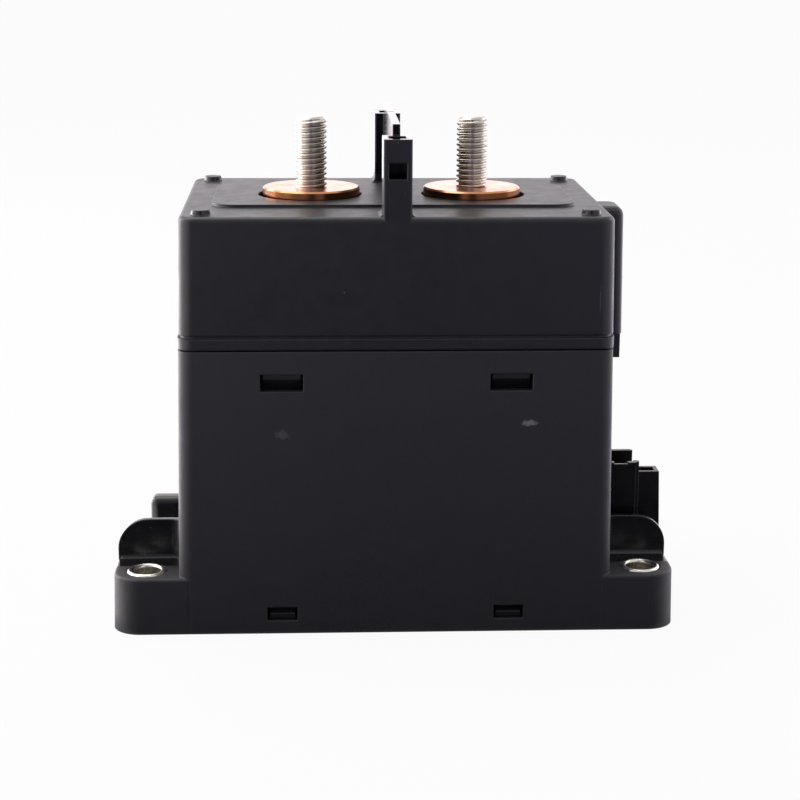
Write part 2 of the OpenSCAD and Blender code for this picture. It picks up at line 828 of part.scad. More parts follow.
// Channel on the right side of the cover, clear of the housing below the seam, and its tongue
module side_channel() {
    inner_x = cover_top_half_w - wall / 2;
    clear_x = half_w + 2 * fit_gap;
    w = channel_x - inner_x;
    foot_w = w + cover_draft;
    foot_z = cover_z - channel_past;
    difference() {
        translate([inner_x, connector_y, 0])
            hull() {
                translate([foot_w / 2, 0, 0])
                    slice(foot_w, channel_w, channel_r, foot_z);
                for (a = [0, 30, 60, 90]) {
                    cut = channel_r * (1 - cos(a));
                    translate([(w - cut) / 2, 0, 0])
                        slice(w - cut, channel_w - 2 * cut, channel_r - cut / 2,
                              channel_top_z - channel_r * (1 - sin(a)) - eps);
                }
            }
        box([inner_x - past, connector_y - channel_w, foot_z - past],
            [clear_x, connector_y + channel_w, cover_z]);
    }
    box([clear_x, connector_y - channel_w / 2 + channel_r, cover_z - tongue_h],
        [channel_x + cover_draft - tongue_step, connector_y + channel_w / 2 - channel_r, cover_z + band_h]);
}

module upper_cover() {
    color(plastic) {
        difference() {
            union() {
                cover_body();
                cover_foot();
                side_channel();
                rounded_prism(panel_w, panel_d, panel_r, cover_top_z - eps, panel_z);
            }
            rounded_prism(2 * cover_cavity_x, 2 * cavity_y, cavity_r,
                          cover_z - past, cover_top_z - cover_top_t);
            box([cover_cavity_x - past, connector_y - channel_w / 2 + channel_t, cover_z + band_h],
                [channel_x - channel_t, connector_y + channel_w / 2 - channel_t, channel_top_z - channel_t]);
            for (side = [-1, 1])
                translate([side * (terminal_x + disc_hole_shift), 0, cover_top_z - cover_top_t - past])
                    cylinder(h = cover_top_t + panel_h + 2 * past, d = disc_hole_d);
        }
        cover_lip();
        at_snaps(upper_snap_x)
            cover_snap();
        for (side = [-1, 1], face = [-1, 1])
            at_corner(side, face)
                translate([cover_top_half_w - button_inset, half_d - button_inset_y, cover_top_z - eps])
                    cylinder(h = button_h, d1 = button_d, d2 = button_d - button_taper);
        difference() {
            union() {
                barrier();
                for (face = [-1, 1])
                    at_corner(1, face)
                        post();
            }
            for (face = [-1, 1])
                at_corner(1, face)
                    post_hollow();
        }
    }
}

module bottom_plate() {
    top_z = base_recess + base_t;
    plate_x = cavity_x - fit_gap;
    plate_y = cavity_y - fit_gap;
    nose_z = lower_window_z + fit_gap;
    nose_top = lower_window_z + lower_window_h - fit_gap;
    color(hidden_plastic) {
        rounded_prism(2 * plate_x, 2 * plate_y, cavity_r, base_recess, top_z);
        for (side = [-1, 1])
            translate([side * yoke_w / 3, 0, 0])
                rounded_prism(rail_w, yoke_d, cavity_r, top_z - eps, pad_z);
        at_snaps(lower_snap_x)
            plate_yz(lower_window_w - 6 * fit_gap)
                polygon([
                    [plate_y - lip_t, top_z - eps], [plate_y, top_z - eps], [plate_y, nose_z],
                    [plate_y + snap_nose, nose_z], [plate_y + snap_nose, nose_z + snap_strip],
                    [plate_y, nose_top - fit_gap], [plate_y, nose_top], [plate_y - lip_t, nose_top]
                ]);
    }
}

// Sleeve with a rounded lip that takes a fixing bolt through an ear
module bushing(side, face) {
    r = bushing_od / 2;
    t = (bushing_od - bushing_bore) / 2;
    top = ear_h + bushing_proud;
    lip = t / 2;
    color(nickel)
        at_corner(side, face)
            translate([mount_x, mount_y, 0])
                rotate_extrude() {
                    translate([r - t, 0])
                        square([t, top - lip]);
                    translate([r - lip, top - lip])
                        circle(lip);
                }
}

// Plan of the shroud about its own middle, inset all round
module shroud_plan(inset) {
    translate([shroud_x + shroud_out / 2, connector_y])
        rounded_rect(shroud_out - 2 * inset, shroud_w - 2 * inset, shroud_r - inset / 2);
}

// The pins' solids, grown all round by a gap
module pins(gap) {
    side = pin_side + 2 * gap;
    tip_z = shroud_floor_z + pin_reach;
    for (row = [0, 1], y = [-1, 1]) {
        x = pin_row_x + (row - 0.5) * pin_pitch;
        tail_z = spigot_z + spigot_h / 2 + (0.5 - row) * pin_pitch;
        translate([0, connector_y + y * pin_pitch / 2, 0]) {
            box([x - side / 2, -side / 2, tail_z - side / 2], [x + side / 2, side / 2, tip_z]);
            box([pin_tail_x, -side / 2, tail_z - side / 2], [x, side / 2, tail_z + side / 2]);
        }
    }
}

module connector_body() {
    latch_foot_z = latch_top_z - latch_h;
    color(plastic)
        difference() {
            union() {
                translate([0, 0, shroud_foot_z])
                    linear_extrude(shroud_top_z - shroud_foot_z)
                        shroud_plan(0);
                plate_xz(connector_y - latch_w / 2, latch_w)
                    polygon([
                        [shroud_outer_x - eps, latch_foot_z], [latch_x + latch_draft, latch_foot_z],
                        [latch_x, latch_top_z], [shroud_outer_x - eps, latch_top_z]
                    ]);
                box([spigot_x, connector_y - spigot_w / 2 + fit_gap, spigot_z + fit_gap],
                    [shroud_x + eps, connector_y + spigot_w / 2 - fit_gap, spigot_z + spigot_h - fit_gap]);
            }
            translate([0, 0, shroud_floor_z])
                linear_extrude(shroud_depth + past)
                    shroud_plan(shroud_t);
            box([shroud_outer_x - shroud_step_w, shroud_front_y - past, shroud_foot_z - past],
                [shroud_outer_x + past, shroud_front_y + shroud_step_d, shroud_top_z + past]);
            box([shroud_outer_x - shroud_t - past, shroud_front_y + shroud_post_w, latch_top_z],
                [shroud_outer_x + past, shroud_rear_y - shroud_t, shroud_top_z + past]);
            translate([pin_row_x - key_w / 2, shroud_front_y + shroud_t - key_depth, shroud_floor_z])
                cube([key_w, 2 * key_depth, shroud_depth + past]);
            translate([pin_row_x - key_w / 2, shroud_front_y - past, shroud_top_z - key_drop])
                cube([key_w, shroud_t + past, key_drop + past]);
            box([shroud_outer_x, connector_y - latch_w / 2 + latch_t, latch_top_z - latch_depth],
                [latch_x - latch_t, connector_y + latch_w / 2 - latch_t, latch_top_z + past]);
            pins(seat_gap);
        }
}

module connector_pins() {
    color(copper)
        pins(0);
}

module control_board() {
    y = coil_pin_y + board_past;
    color(board_green)
        difference() {
            box([board_x, -y, board_z], [board_x + board_t, y, board_z + board_h]);
            pins(fit_gap);
            coil_pin_bars(fit_gap);
        }
}

// The coil pins' solids, from the bobbin's lower flange to the board
module coil_pin_bars(gap) {
    side = coil_pin_side + 2 * gap;
    for (y = [-1, 1])
        translate([0, y * coil_pin_y, coil_pin_z])
            box([bobbin_half_w - coil_pin_root, -side / 2, -side / 2],
                [board_x + board_t + coil_pin_tail, side / 2, side / 2]);
}

module coil_pins() {
    color(nickel)
        coil_pin_bars(0);
}

// Copper terminal: contact pillar, collar and the disc that shows
module terminal(side) {
    pillar_r = pillar_d / 2;
    color(copper)
        translate([side * terminal_x, 0, 0])
            difference() {
                union() {
                    translate([0, 0, contact_z])
                        cylinder(h = collar_z - contact_z + eps, r = pillar_r);
                    translate([0, 0, collar_z])
                        cylinder(h = collar_top_z - collar_z + eps, d = collar_d);
                    translate([0, 0, collar_top_z])
                        rotate_extrude()
                            polygon([
                                [0, 0], [disc_d / 2 - disc_chamfer, 0], [disc_d / 2, disc_chamfer],
                                [disc_d / 2, disc_t - disc_chamfer], [disc_d / 2 - disc_chamfer, disc_t],
                                [0, disc_t]
                            ]);
                }
                translate([0, 0, disc_top_z - stud_root - fit_gap])
                    cylinder(h = stud_root + past, d = stud_root_d + 2 * seat_gap);
            }
}

// Stud: a slimmer root in the terminal and the shank that shows
module stud(side) {
    color(steel)
        translate([side * terminal_x, 0, 0]) {
            translate([0, 0, disc_top_z - stud_root])
                cylinder(h = stud_root + eps, d = stud_root_d);
            translate([0, 0, disc_top_z])
                cylinder(h = stud_len - stud_chamfer, d = stud_d);
            translate([0, 0, stud_top_z - stud_chamfer])
                cylinder(h = stud_chamfer, d1 = stud_d, d2 = stud_d - 2 * stud_chamfer);
        }
}

module braze_ring(side) {
    color(nickel)
        translate([side * terminal_x, 0, 0])
            tube(collar_d / 2 + braze_past, pillar_d / 2 + seat_gap, ceramic_top_z, collar_z);
}

module ceramic_chamber() {
    outer_w = 2 * (chamber_half_w + ceramic_t);
    outer_d = 2 * (chamber_half_d + ceramic_t);
    color(ceramic_white)
        difference() {
            rounded_prism(outer_w, outer_d, ceramic_r, ceramic_z, ceramic_top_z);
            rounded_prism(2 * chamber_half_w, chamber_d, ceramic_r - ceramic_t,
                          ceramic_z - past, ceramic_top_z - ceramic_roof_t);
            for (side = [-1, 1])
                translate([side * terminal_x, 0, ceramic_top_z - ceramic_roof_t - past])
                    cylinder(h = ceramic_roof_t + 2 * past, d = pillar_d + 2 * fit_gap);
        }
}

module chamber_skirt() {
    outer_w = 2 * (chamber_half_w + ceramic_t);
    outer_d = 2 * (chamber_half_d + ceramic_t);
    color(nickel)
        difference() {
            union() {
                rounded_prism(outer_w, outer_d, ceramic_r, yoke_top_z, ceramic_z);
                rounded_prism(outer_w + 2 * skirt_flange, outer_d + 2 * skirt_flange,
                              ceramic_r + skirt_flange, yoke_top_z, yoke_top_z + skirt_t);
            }
            rounded_prism(outer_w - 2 * skirt_t, outer_d - 2 * skirt_t, ceramic_r - skirt_t,
                          yoke_top_z - past, ceramic_z - skirt_t);
            rounded_prism(2 * chamber_half_w, chamber_d, ceramic_r - ceramic_t,
                          yoke_top_z, ceramic_z + past);
        }
}

module magnet(face) {
    color(magnet_black)
        at_corner(1, face)
            box([-magnet_w / 2, magnet_y, magnet_z],
                [magnet_w / 2, magnet_y + magnet_t, magnet_z + magnet_h]);
}

module magnet_yoke() {
    color(steel)
        difference() {
            rounded_prism(2 * (ring_x + magnet_yoke_t), 2 * (ring_y + magnet_yoke_t), 2 * magnet_yoke_t,
                          ring_z, ring_top_z);
            rounded_prism(2 * ring_x, 2 * ring_y, magnet_yoke_t, ring_z - past, ring_top_z + past);
        }
}

module yoke_top_plate() {
    color(steel)
        difference() {
            rounded_prism(2 * top_plate_half_w, 2 * top_plate_half_d, top_plate_r,
                          yoke_under_z, yoke_top_z);
            translate([0, 0, yoke_under_z - past])
                cylinder(h = yoke_top_t + 2 * past, d = core_neck_d + 2 * seat_gap);
        }
}

module yoke_frame() {
    color(steel)
        difference() {
            plate_xz(-yoke_d / 2, yoke_d)
                difference() {
                    translate([-yoke_w / 2, yoke_z])
                        square([yoke_w, yoke_under_z - yoke_z]);
                    translate([-yoke_w / 2 + yoke_t, yoke_floor_z])
                        square([yoke_w - 2 * yoke_t, yoke_under_z - yoke_z]);
                }
            translate([0, 0, yoke_z - past])
                cylinder(h = yoke_t + 2 * past, r = sleeve_r + fit_gap);
        }
}

module yoke_pad() {
    color(rubber)
        difference() {
            rounded_prism(yoke_w - 2 * pad_inset, yoke_d - 2 * pad_inset, 2 * pad_inset, pad_z, yoke_z);
            translate([0, 0, pad_z - past])
                cylinder(h = pad_t + 2 * past, r = sleeve_r + 2 * pad_inset);
        }
}

module coil_bobbin() {
    color(bobbin_cream)
        difference() {
            union() {
                translate([0, 0, bobbin_z])
                    cylinder(h = bobbin_top_z - bobbin_z, r = bobbin_r + bobbin_t);
                rounded_prism(2 * bobbin_half_w, 2 * bobbin_half_d, 2 * bobbin_flange_t,
                              bobbin_z, bobbin_z + bobbin_flange_t);
                rounded_prism(2 * bobbin_half_w, 2 * bobbin_half_d, 2 * bobbin_flange_t,
                              bobbin_top_z - bobbin_flange_t, bobbin_top_z);
            }
            translate([0, 0, bobbin_z - past])
                cylinder(h = bobbin_top_z - bobbin_z + 2 * past, r = bobbin_r);
            coil_pin_bars(seat_gap);
        }
}

module coil_winding() {
    color(winding)
        tube(coil_d / 2, bobbin_r + bobbin_t + seat_gap, bobbin_z + bobbin_flange_t + seat_gap,
             bobbin_top_z - bobbin_flange_t - seat_gap);
}

module plunger_sleeve() {
    color(nickel) {
        difference() {
            translate([0, 0, sleeve_z])
                cylinder(h = yoke_under_z - sleeve_z, r = sleeve_r);
            translate([0, 0, sleeve_z + sleeve_flange_t])
                cylinder(h = yoke_under_z, r = sleeve_r - sleeve_t);
        }
        tube(sleeve_r + sleeve_flange, sleeve_r - eps, yoke_under_z - sleeve_flange_t, yoke_under_z);
    }
}

module fixed_core() {
    color(steel)
        difference() {
            union() {
                translate([0, 0, core_z])
                    cylinder(h = yoke_under_z - core_z, d = core_d);
                translate([0, 0, yoke_under_z - eps])
                    cylinder(h = yoke_top_t + 2 * eps, d = core_neck_d);
                translate([0, 0, yoke_top_z])
                    cylinder(h = core_head_h, d = core_neck_d + 2 * core_head_past);
            }
            translate([0, 0, core_z - past])
                cylinder(h = yoke_top_z, r = shaft_r + slide_gap);
            translate([0, 0, core_z - past])
                cylinder(h = core_pocket + past, r = pocket_r);
        }
}

module plunger() {
    color(steel)
        difference() {
            translate([0, 0, plunger_z])
                cylinder(h = plunger_len, d = core_d);
            translate([0, 0, shaft_z - fit_gap])
                cylinder(h = plunger_len, r = shaft_r + seat_gap);
            translate([0, 0, plunger_top_z - plunger_pocket])
                cylinder(h = plunger_pocket + past, r = pocket_r);
        }
}

module shaft() {
    color(nickel) {
        translate([0, 0, shaft_z])
            cylinder(h = clip_z - shaft_z, r = shaft_r);
        translate([0, 0, clip_z - eps])
            cylinder(h = clip_t + 2 * eps, r = shaft_r - clip_groove);
        translate([0, 0, clip_z + clip_t])
            cylinder(h = shaft_top_z - clip_z - clip_t, r = shaft_r);
        translate([0, 0, seat_top_z - seat_t - shaft_collar])
            cylinder(h = shaft_collar, r = shaft_r + shaft_collar);
    }
}

module spring_seat() {
    rim_r = contact_spring_r + contact_wire / 2 + spring_gap / 2;
    color(nickel) {
        tube(rim_r + seat_rim_t, shaft_r + seat_gap, seat_top_z - seat_t, seat_top_z);
        tube(rim_r + seat_rim_t, rim_r, seat_top_z - eps, seat_top_z + seat_rim_h);
    }
}

// Snap ring in the shaft's groove, open on one side
module shaft_clip() {
    color(steel)
        difference() {
            tube(shaft_r + clip_past, shaft_r - clip_groove + seat_gap,
                 clip_z + seat_gap, clip_z + clip_t - seat_gap);
            box([0, -clip_mouth / 2, clip_z - past], [2 * shaft_d, clip_mouth / 2, clip_z + clip_t + past]);
        }
}

// Height along a spring after a number of turns, its end turns wound close
function spring_rise(turn, turns, wire, length) =
    let (close = wire * 1.06,
         middle = (length - wire - 2 * close) / (turns - 2))
    turn < 1 ? turn * close
    : turn > turns - 1 ? length - wire - (turns - turn) * close
    : close + (turn - 1) * middle;

// Coil spring about Z swept as one round wire from height z
module coil_spring(r, wire, turns, length, z) {
    sides = 8;
    steps = 20;
    rings = turns * steps;
    points = [
        for (i = [0:rings], j = [0:sides - 1])
            let (around = 360 * i / steps,
                 across = 360 * j / sides,
                 reach = r + wire / 2 * cos(across))
            [reach * cos(around), reach * sin(around),
             z + wire / 2 * (1 + sin(across)) + spring_rise(i / steps, turns, wire, length)]
    ];
    first = [for (j = [0:sides - 1]) j];
    last = [for (j = [sides - 1:-1:0]) rings * sides + j];
    skin = [
        for (i = [0:rings - 1], j = [0:sides - 1])
            let (k = (j + 1) % sides)
            [i * sides + j, (i + 1) * sides + j, (i + 1) * sides + k, i * sides + k]
    ];
    polyhedron(points, concat([first], [last], skin), convexity = 10);
}

module return_spring() {
    low = plunger_top_z - plunger_pocket + seat_gap;
    high = core_z + core_pocket - seat_gap;
    color(nickel)
        coil_spring(return_spring_r, return_wire, return_turns, high - low, low);
}

module contact_spring() {
    color(nickel)
        coil_spring(contact_spring_r, contact_wire, contact_turns, contact_spring_len - 2 * seat_gap,
                    seat_top_z + seat_gap);
}

// Copper bridge with a tip under each terminal
module contact_bridge() {
    color(copper)
        difference() {
            union() {
                rounded_prism(2 * bridge_half_w, bridge_d, bridge_r, bridge_z, bridge_top_z);
                for (side = [-1, 1])
                    translate([side * terminal_x, 0, bridge_top_z - eps])
                        cylinder(h = tip_h + eps, d = tip_d);
            }
            translate([0, 0, bridge_z - past])
                cylinder(h = bridge_t + 2 * past, r = shaft_r + slide_gap);
        }
}

upper_cover();
lower_housing();
bottom_plate();
bushing(-1, -1);  // bushing_front_left
bushing(1, -1);  // bushing_front_right
bushing(1, 1);  // bushing_rear_right
connector_body();
connector_pins();
control_board();
terminal(-1);  // terminal_left
terminal(1);  // terminal_right
stud(-1);  // stud_left
stud(1);  // stud_right
braze_ring(-1);  // braze_ring_left
braze_ring(1);  // braze_ring_right
ceramic_chamber();
chamber_skirt();
magnet(-1);  // magnet_front
magnet(1);  // magnet_rear
magnet_yoke();
yoke_top_plate();
yoke_frame();
yoke_pad();
coil_bobbin();
coil_winding();
coil_pins();
plunger_sleeve();
fixed_core();
plunger();
shaft();
spring_seat();
shaft_clip();
return_spring();
contact_spring();
contact_bridge();
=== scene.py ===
import math

import bpy
import numpy as np
from mathutils import Matrix, Vector


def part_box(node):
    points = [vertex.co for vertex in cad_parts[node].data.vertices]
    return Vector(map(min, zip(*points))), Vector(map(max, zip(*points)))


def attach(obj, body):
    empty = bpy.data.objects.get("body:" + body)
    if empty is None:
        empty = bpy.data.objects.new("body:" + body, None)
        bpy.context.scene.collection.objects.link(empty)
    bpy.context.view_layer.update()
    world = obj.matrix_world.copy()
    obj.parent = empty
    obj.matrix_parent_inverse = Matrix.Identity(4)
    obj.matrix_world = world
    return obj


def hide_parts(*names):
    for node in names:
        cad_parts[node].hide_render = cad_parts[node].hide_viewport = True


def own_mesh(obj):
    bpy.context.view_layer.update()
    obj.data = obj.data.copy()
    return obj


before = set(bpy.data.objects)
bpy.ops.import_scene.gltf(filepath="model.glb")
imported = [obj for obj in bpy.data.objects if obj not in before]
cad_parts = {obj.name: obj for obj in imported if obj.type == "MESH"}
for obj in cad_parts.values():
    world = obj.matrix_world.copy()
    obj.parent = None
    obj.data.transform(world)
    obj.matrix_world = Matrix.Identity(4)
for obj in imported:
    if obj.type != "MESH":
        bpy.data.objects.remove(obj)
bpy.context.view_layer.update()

scene = bpy.context.scene
scene.view_settings.view_transform = "Standard"

# Camera
# It stands about 0.36 m in front of the contactor and looks down on it by 14 degrees, through
# a lens of 85 mm on a 36 mm square frame.
mm = 0.001
camera_place = (-15.47 * mm, -363.54 * mm, 129.62 * mm)
yaw = math.radians(2.735)
pitch = math.radians(14.10)
roll = math.radians(0.34)
ahead = Vector((math.sin(yaw) * math.cos(pitch), math.cos(yaw) * math.cos(pitch), -math.sin(pitch)))
level = Vector((math.cos(yaw), -math.sin(yaw), 0))
above = level.cross(ahead)
camera = bpy.data.objects.new("camera", bpy.data.cameras.new("camera"))
camera.data.lens = 85.16
camera.data.sensor_width = 36
camera.data.clip_start = 10 * mm
camera.matrix_world = Matrix((
    math.cos(roll) * level + math.sin(roll) * above,
    math.cos(roll) * above - math.sin(roll) * level,
    -ahead,
)).transposed().to_4x4()
camera.location = camera_place
scene.collection.objects.link(camera)
scene.camera = camera


# Studio
# White paper lies under the contactor and sweeps up behind it, and two soft boxes light it from above
# and from the left. Cards and panels show in reflections only: dim ones keep the front and back walls
# dark, and bright ones at the sides and behind give the edges, the metal and the top their sheen.
def linear(code):
    """Linear colour of an sRGB hex code. Each channel is divided by 12.92 up to 0.04045, and above that
    it is its sum with 0.055, divided by 1.055, to the power of 2.4."""
    channels = np.array([int(code[start:start + 2], 16) for start in (1, 3, 5)]) / 255
    return (*np.where(channels <= 0.04045, channels / 12.92, ((channels + 0.055) / 1.055) ** 2.4), 1.0)


def feed(tree, node, inputs):
    """Gives a node its inputs, by their names or numbers: each takes a value or another node's output."""
    for key, value in inputs.items():
        if isinstance(value, bpy.types.NodeSocket):
            tree.links.new(value, node.inputs[key])
        else:
            node.inputs[key].default_value = value


def add(tree, kind, inputs=None, **settings):
    """Adds one shader node with its settings and its inputs."""
    made = tree.nodes.new("ShaderNode" + kind)
    for name, value in settings.items():
        setattr(made, name, value)
    feed(tree, made, inputs or {})
    return made


def show_white(tree):
    """1 for a ray that comes straight from the camera, by a reflection or through glass, and else 0:
    the largest of the three ray flags."""
    rays = add(tree, "LightPath").outputs
    seen = add(tree, "Math", {0: rays["Is Camera Ray"], 1: rays["Is Glossy Ray"]}, operation="MAXIMUM")
    seen = add(tree, "Math", {0: seen.outputs[0], 1: rays["Is Transmission Ray"]}, operation="MAXIMUM")
    return seen.outputs[0]


def sweep_sheet(name, start, end, near, far, low, high, bend, sideways=False):
    """Sheet carried along X from start to end, or along Y if it stands sideways. Its profile is level
    from near to the bend, then a quarter circle of the bend's radius, then upright at far."""
    bend_points = 24
    turn = np.linspace(0, np.pi / 2, bend_points)
    depth = np.concatenate([[near], far + np.sign(near - far) * bend * (1 - np.sin(turn)), [far]])
    height = np.concatenate([[low], low + bend - bend * np.cos(turn), [high]])
    along = np.broadcast_to([[start], [end]], (2, len(depth)))
    depth = np.broadcast_to(depth, along.shape)
    x, y = (depth, along) if sideways else (along, depth)
    points = np.stack([x, y, np.broadcast_to(height, along.shape)], axis=-1)
    index = np.arange(points.size // 3).reshape(points.shape[:2])
    quads = np.stack([index[:-1, :-1], index[1:, :-1], index[1:, 1:], index[:-1, 1:]], axis=-1)
    mesh = bpy.data.meshes.new(name)
    mesh.from_pydata(points.reshape(-1, 3).tolist(), [], quads.reshape(-1, 4).tolist())
    mesh.polygons.foreach_set("use_smooth", np.ones(len(mesh.polygons), bool))
    made = bpy.data.objects.new(name, mesh)
    scene.collection.objects.link(made)
    return made


def reflector(name, colour, sides, middle, **place):
    """Board that shows in reflections only. Its glow is the middle's strength up to 70 mm away from the
    middle plane, x = 0, and the sides' strength from 170 mm on."""
    glowing = bpy.data.materials.new(name)
    glowing.use_nodes = True
    tree = glowing.node_tree
    tree.nodes.clear()
    across = add(tree, "SeparateXYZ", {0: add(tree, "TexCoord").outputs["Object"]}).outputs["X"]
    aside = add(tree, "Math", {0: across}, operation="ABSOLUTE").outputs[0]
    power = add(tree, "MapRange", {"Value": aside, "From Min": 70 * mm, "From Max": 170 * mm,
                                   "To Min": middle, "To Max": sides}).outputs[0]
    glow = add(tree, "Emission", {"Color": linear(colour), "Strength": power})
    add(tree, "OutputMaterial", {"Surface": glow.outputs[0]})
    made = sweep_sheet(name, **place)
    made.data.materials.append(glowing)
    made.visible_camera = made.visible_diffuse = made.visible_shadow = False
    return made


# Matt paper has no gloss: it looks plain white, and keeps the object's soft shadow.
paper = bpy.data.materials.new("matt_white_paper")
paper.use_nodes = True
tree = paper.node_tree
tree.nodes.clear()
white_share = 0.94
plain = add(tree, "BsdfDiffuse", {"Color": linear("#fafafa")})
white = add(tree, "Emission", {"Color": linear("#ffffff"), "Strength": 1.0})
share = add(tree, "Math", {0: show_white(tree), 1: white_share}, operation="MULTIPLY")
mixed = add(tree, "MixShader", {0: share.outputs[0], 1: plain.outputs[0], 2: white.outputs[0]})
add(tree, "OutputMaterial", {"Surface": mixed.outputs[0]})
sheet = sweep_sheet("white_sweep", start=-1.6, end=1.6, near=-1.4, far=1.3, low=0, high=1.6, bend=0.4)
sheet.data.materials.append(paper)

# The places are in metres. Where two boards overlap, one lies a little higher.
cards = [
    reflector("front_card", "#d6d0ee", sides=1.35, middle=0.085,
              start=-0.40, end=0.40, near=-0.0280, far=-0.75, low=0.0001, high=0.9, bend=0.2),
    reflector("back_card", "#d6d0ee", sides=0.35, middle=0.06,
              start=-0.40, end=0.40, near=0.0280, far=0.45, low=0.0001, high=0.002, bend=0.001),
    reflector("left_card", "#fffaff", sides=1.6, middle=2.8, sideways=True,
              start=-0.03, end=0.02, near=-0.056, far=-0.45, low=0.0006, high=0.5, bend=0.1),
    reflector("right_card", "#f2eef6", sides=1.2, middle=1.6, sideways=True,
              start=-0.03, end=0.02, near=0.056, far=0.45, low=0.0006, high=0.5, bend=0.1),
    reflector("front_left_panel", "#fffaff", sides=2.5, middle=2.5, sideways=True,
              start=-0.40, end=-0.03, near=-0.13, far=-0.45, low=0.0007, high=0.5, bend=0.1),
    reflector("rear_left_panel", "#fffaff", sides=7.5, middle=4.0, sideways=True,
              start=0.02, end=0.60, near=-0.056, far=-0.45, low=0.0007, high=0.5, bend=0.1),
    reflector("rear_right_panel", "#f2eef6", sides=3.2, middle=2.2, sideways=True,
              start=0.02, end=0.60, near=0.056, far=0.45, low=0.0007, high=0.5, bend=0.1),
    reflector("rear_panel", "#fff6ff", sides=1.95, middle=2.1,
              start=-0.40, end=0.60, near=0.50, far=0.85, low=0.0008, high=0.30, bend=0.1),
]

# The room lights the object dimly, and looks white.
room_light, room_white = 0.3, 0.98
world = bpy.data.worlds.new("studio_room")
scene.world = world
world.use_nodes = True
tree = world.node_tree
power = add(tree, "MapRange", {"Value": show_white(tree), "To Min": room_light, "To Max": room_white})
feed(tree, tree.nodes["Background"], {"Color": linear("#ffffff"), "Strength": power.outputs[0]})

lamp_aim = Vector((0, 0, 0.05))
for name, place in (("soft_box_above", (-0.20, 0.20, 0.75)), ("soft_box_left", (-0.70, 0.25, 0.25))):
    lamp = bpy.data.lights.new(name, "AREA")
    lamp.shape = "RECTANGLE"
    lamp.size = 0.7
    lamp.size_y = 0.5
    lamp.energy = 2.8
    soft_box = bpy.data.objects.new(name, lamp)
    soft_box.rotation_euler = (lamp_aim - Vector(place)).to_track_quat("-Z", "Y").to_euler()
    soft_box.location = place
    soft_box.visible_camera = False
    scene.collection.objects.link(soft_box)


# Lower housing
# One injection moulding in black glass-filled polyester, with the fixing ears, the webs behind
# the bushings and the snap windows. The tool's spark-eroded walls leave a fine matt grain.
def finish_tree(name):
    """A new material, its node tree, its surface shader and the piece's own coordinates in metres."""
    made = bpy.data.materials.new(name)
    made.use_nodes = True
    own = add(made.node_tree, "TexCoord").outputs["Object"]
    return made, made.node_tree, made.node_tree.nodes["Principled BSDF"], own


def shaded(code, share):
    """Linear colour of a hex code at a share of its light."""
    return (*(share * c for c in linear(code)[:3]), 1.0)


def polished_zone(tree, away, limits):
    """1 inside a zone and 0 outside it: the product of one ramp for each axis, from the first limit to
    the second, in millimetres away from the middle."""
    zone = 1.0
    for axis, (start, full) in limits.items():
        ramp = add(tree, "MapRange", {"Value": away[axis], "From Min": start * mm, "From Max": full * mm})
        zone = add(tree, "Math", {0: zone, 1: ramp.outputs[0]}, operation="MULTIPLY").outputs[0]
    return zone


def worn_edges(tree, soft, cloud):
    """Share of wear on edges, up to 0.15 of the cloud. It grows as the rounded normal leaves the face's
    own, from a cosine of 0.985 to one of 0.80."""
    face = add(tree, "NewGeometry").outputs["True Normal"]
    cosine = add(tree, "VectorMath", {0: soft, 1: face}, operation="DOT_PRODUCT").outputs["Value"]
    wear = add(tree, "MapRange", {"Value": cosine, "From Min": 0.985, "From Max": 0.80, "To Max": 0.15})
    return add(tree, "Math", {0: wear.outputs[0], 1: cloud}, operation="MULTIPLY").outputs[0]


def rub_mark(tree, own, at, wide, high, share):
    """Share of wear at a rub mark: an ellipse about a point on a front wall, its sizes in millimetres. A
    noise added to the distance over half its width and height makes its edge ragged."""
    ragged_size = 0.6 * mm
    apart = add(tree, "VectorMath", {0: own, 1: [c * mm for c in at]}, operation="SUBTRACT").outputs[0]
    per_size = (1 / (wide * mm), 1 / mm, 1 / (high * mm))
    apart = add(tree, "VectorMath", {0: apart, 1: per_size}, operation="MULTIPLY").outputs[0]
    distance = add(tree, "VectorMath", {0: apart}, operation="LENGTH").outputs["Value"]
    ragged = add(tree, "TexNoise", {"Vector": own, "Scale": 1 / ragged_size, "Detail": 4.0}).outputs[0]
    distance = add(tree, "Math", {0: distance, 1: ragged}, operation="ADD").outputs[0]
    rub = add(tree, "MapRange", {"Value": distance, "From Min": 1.15, "From Max": 0.85, "To Max": share})
    return rub.outputs[0]


def dust_specks(tree, own, smooth):
    """Share of dust: a dot in each cell, as strong as the cell's random number lies above a limit. The
    limit is 0.985 on a grained wall, where few dots show, and 0.6 on a smooth one."""
    cell_size = 1.6 * mm
    cells = add(tree, "TexVoronoi", {"Vector": own, "Scale": 1 / cell_size}).outputs
    dot = add(tree, "MapRange", {"Value": cells["Distance"], "From Min": 0.09, "From Max": 0.04}).outputs[0]
    least = add(tree, "MapRange", {"Value": smooth, "To Min": 0.985, "To Max": 0.6}).outputs[0]
    lot = add(tree, "SeparateColor", {0: cells["Color"]}).outputs[0]
    lot = add(tree, "MapRange", {"Value": lot, "From Min": least, "From Max": 1.0}).outputs[0]
    return add(tree, "Math", {0: dot, 1: lot}, operation="MULTIPLY").outputs[0]


